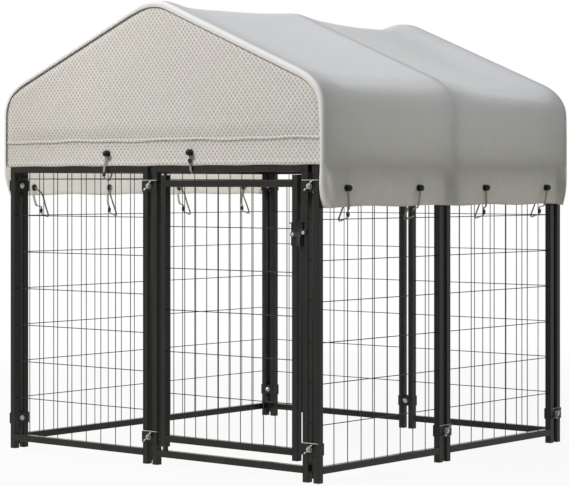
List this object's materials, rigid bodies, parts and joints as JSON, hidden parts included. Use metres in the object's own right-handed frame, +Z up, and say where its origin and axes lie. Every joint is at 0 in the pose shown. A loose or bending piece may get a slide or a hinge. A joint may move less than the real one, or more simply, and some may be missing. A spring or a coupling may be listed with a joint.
{
  "type": "outdoor dog kennel run",
  "caption": "Square outdoor dog kennel of clamped welded-wire panels with a hinged gate, drop latch and gabled cloth cover on bent hoops.",
  "frame": {"origin": "on the ground, under the middle of the run", "axes": "+Z up, -Y out of the front, where the gate is, +X to the right seen from the front"},
  "size_m": [1.275, 1.2494, 1.3469],
  "materials": {
    "black_coat": "satin black powder coat",
    "wire_coat": "satin black coat over welded wire",
    "black_plastic": "moulded black plastic",
    "zinc": "bright zinc plate",
    "latch_steel": "dark coated steel plate",
    "silver_cloth": "coated woven sheet, silver grey",
    "woven_cloth": "coated woven sheet, pale beige grey",
    "grey_cord": "elastic cord, grey"
  },
  "bodies": {
    "frame": {"panel_front_left": "black_coat", "panel_front_gate": "black_coat", "panel_right_front": "black_coat", "panel_right_rear": "black_coat", "panel_back_right": "black_coat", "panel_back_left": "black_coat", "panel_left_rear": "black_coat", "panel_left_front": "black_coat", "mesh_front_left": "wire_coat", "mesh_right_front": "wire_coat", "mesh_right_rear": "wire_coat", "mesh_back_right": "wire_coat", "mesh_back_left": "wire_coat", "mesh_left_rear": "wire_coat", "mesh_left_front": "wire_coat", "foot_caps": "black_plastic", "post_caps": "black_plastic", "clamp_plates_outer": "black_coat", "clamp_plates_inner": "black_coat", "clamp_bolts": "zinc", "wing_nuts": "zinc", "hoop_front": "black_coat", "hoop_middle": "black_coat", "hoop_rear": "black_coat", "ridge_spigots": "zinc", "cover_roof": "silver_cloth", "gable_front": "woven_cloth", "gable_rear": "woven_cloth", "gable_piping": "silver_cloth", "grommets": "black_plastic", "tie_cords": "grey_cord", "tie_sleeves": "black_plastic", "hinge_pins": "zinc", "latch_keeper": "zinc"},
    "gate": {"gate_leaf": "black_coat", "gate_mesh": "wire_coat", "hinge_bushes": "black_plastic", "gate_caps": "black_plastic", "latch_plate": "black_coat", "latch_bolt": "zinc"},
    "latch": {"latch_lever": "latch_steel"}
  },
  "joints": [
    {"name": "gate_swing", "type": "hinge", "parent": "frame", "child": "gate", "pos_m": [0.0335, -0.6, 0], "axis": [0, 0, -1], "range_deg": [0, 120]},
    {"name": "latch_lift", "type": "hinge", "parent": "gate", "child": "latch", "pos_m": [0.5245, -0.6, 0.676], "axis": [0, -1, 0], "range_deg": [0, 22]}
  ]
}
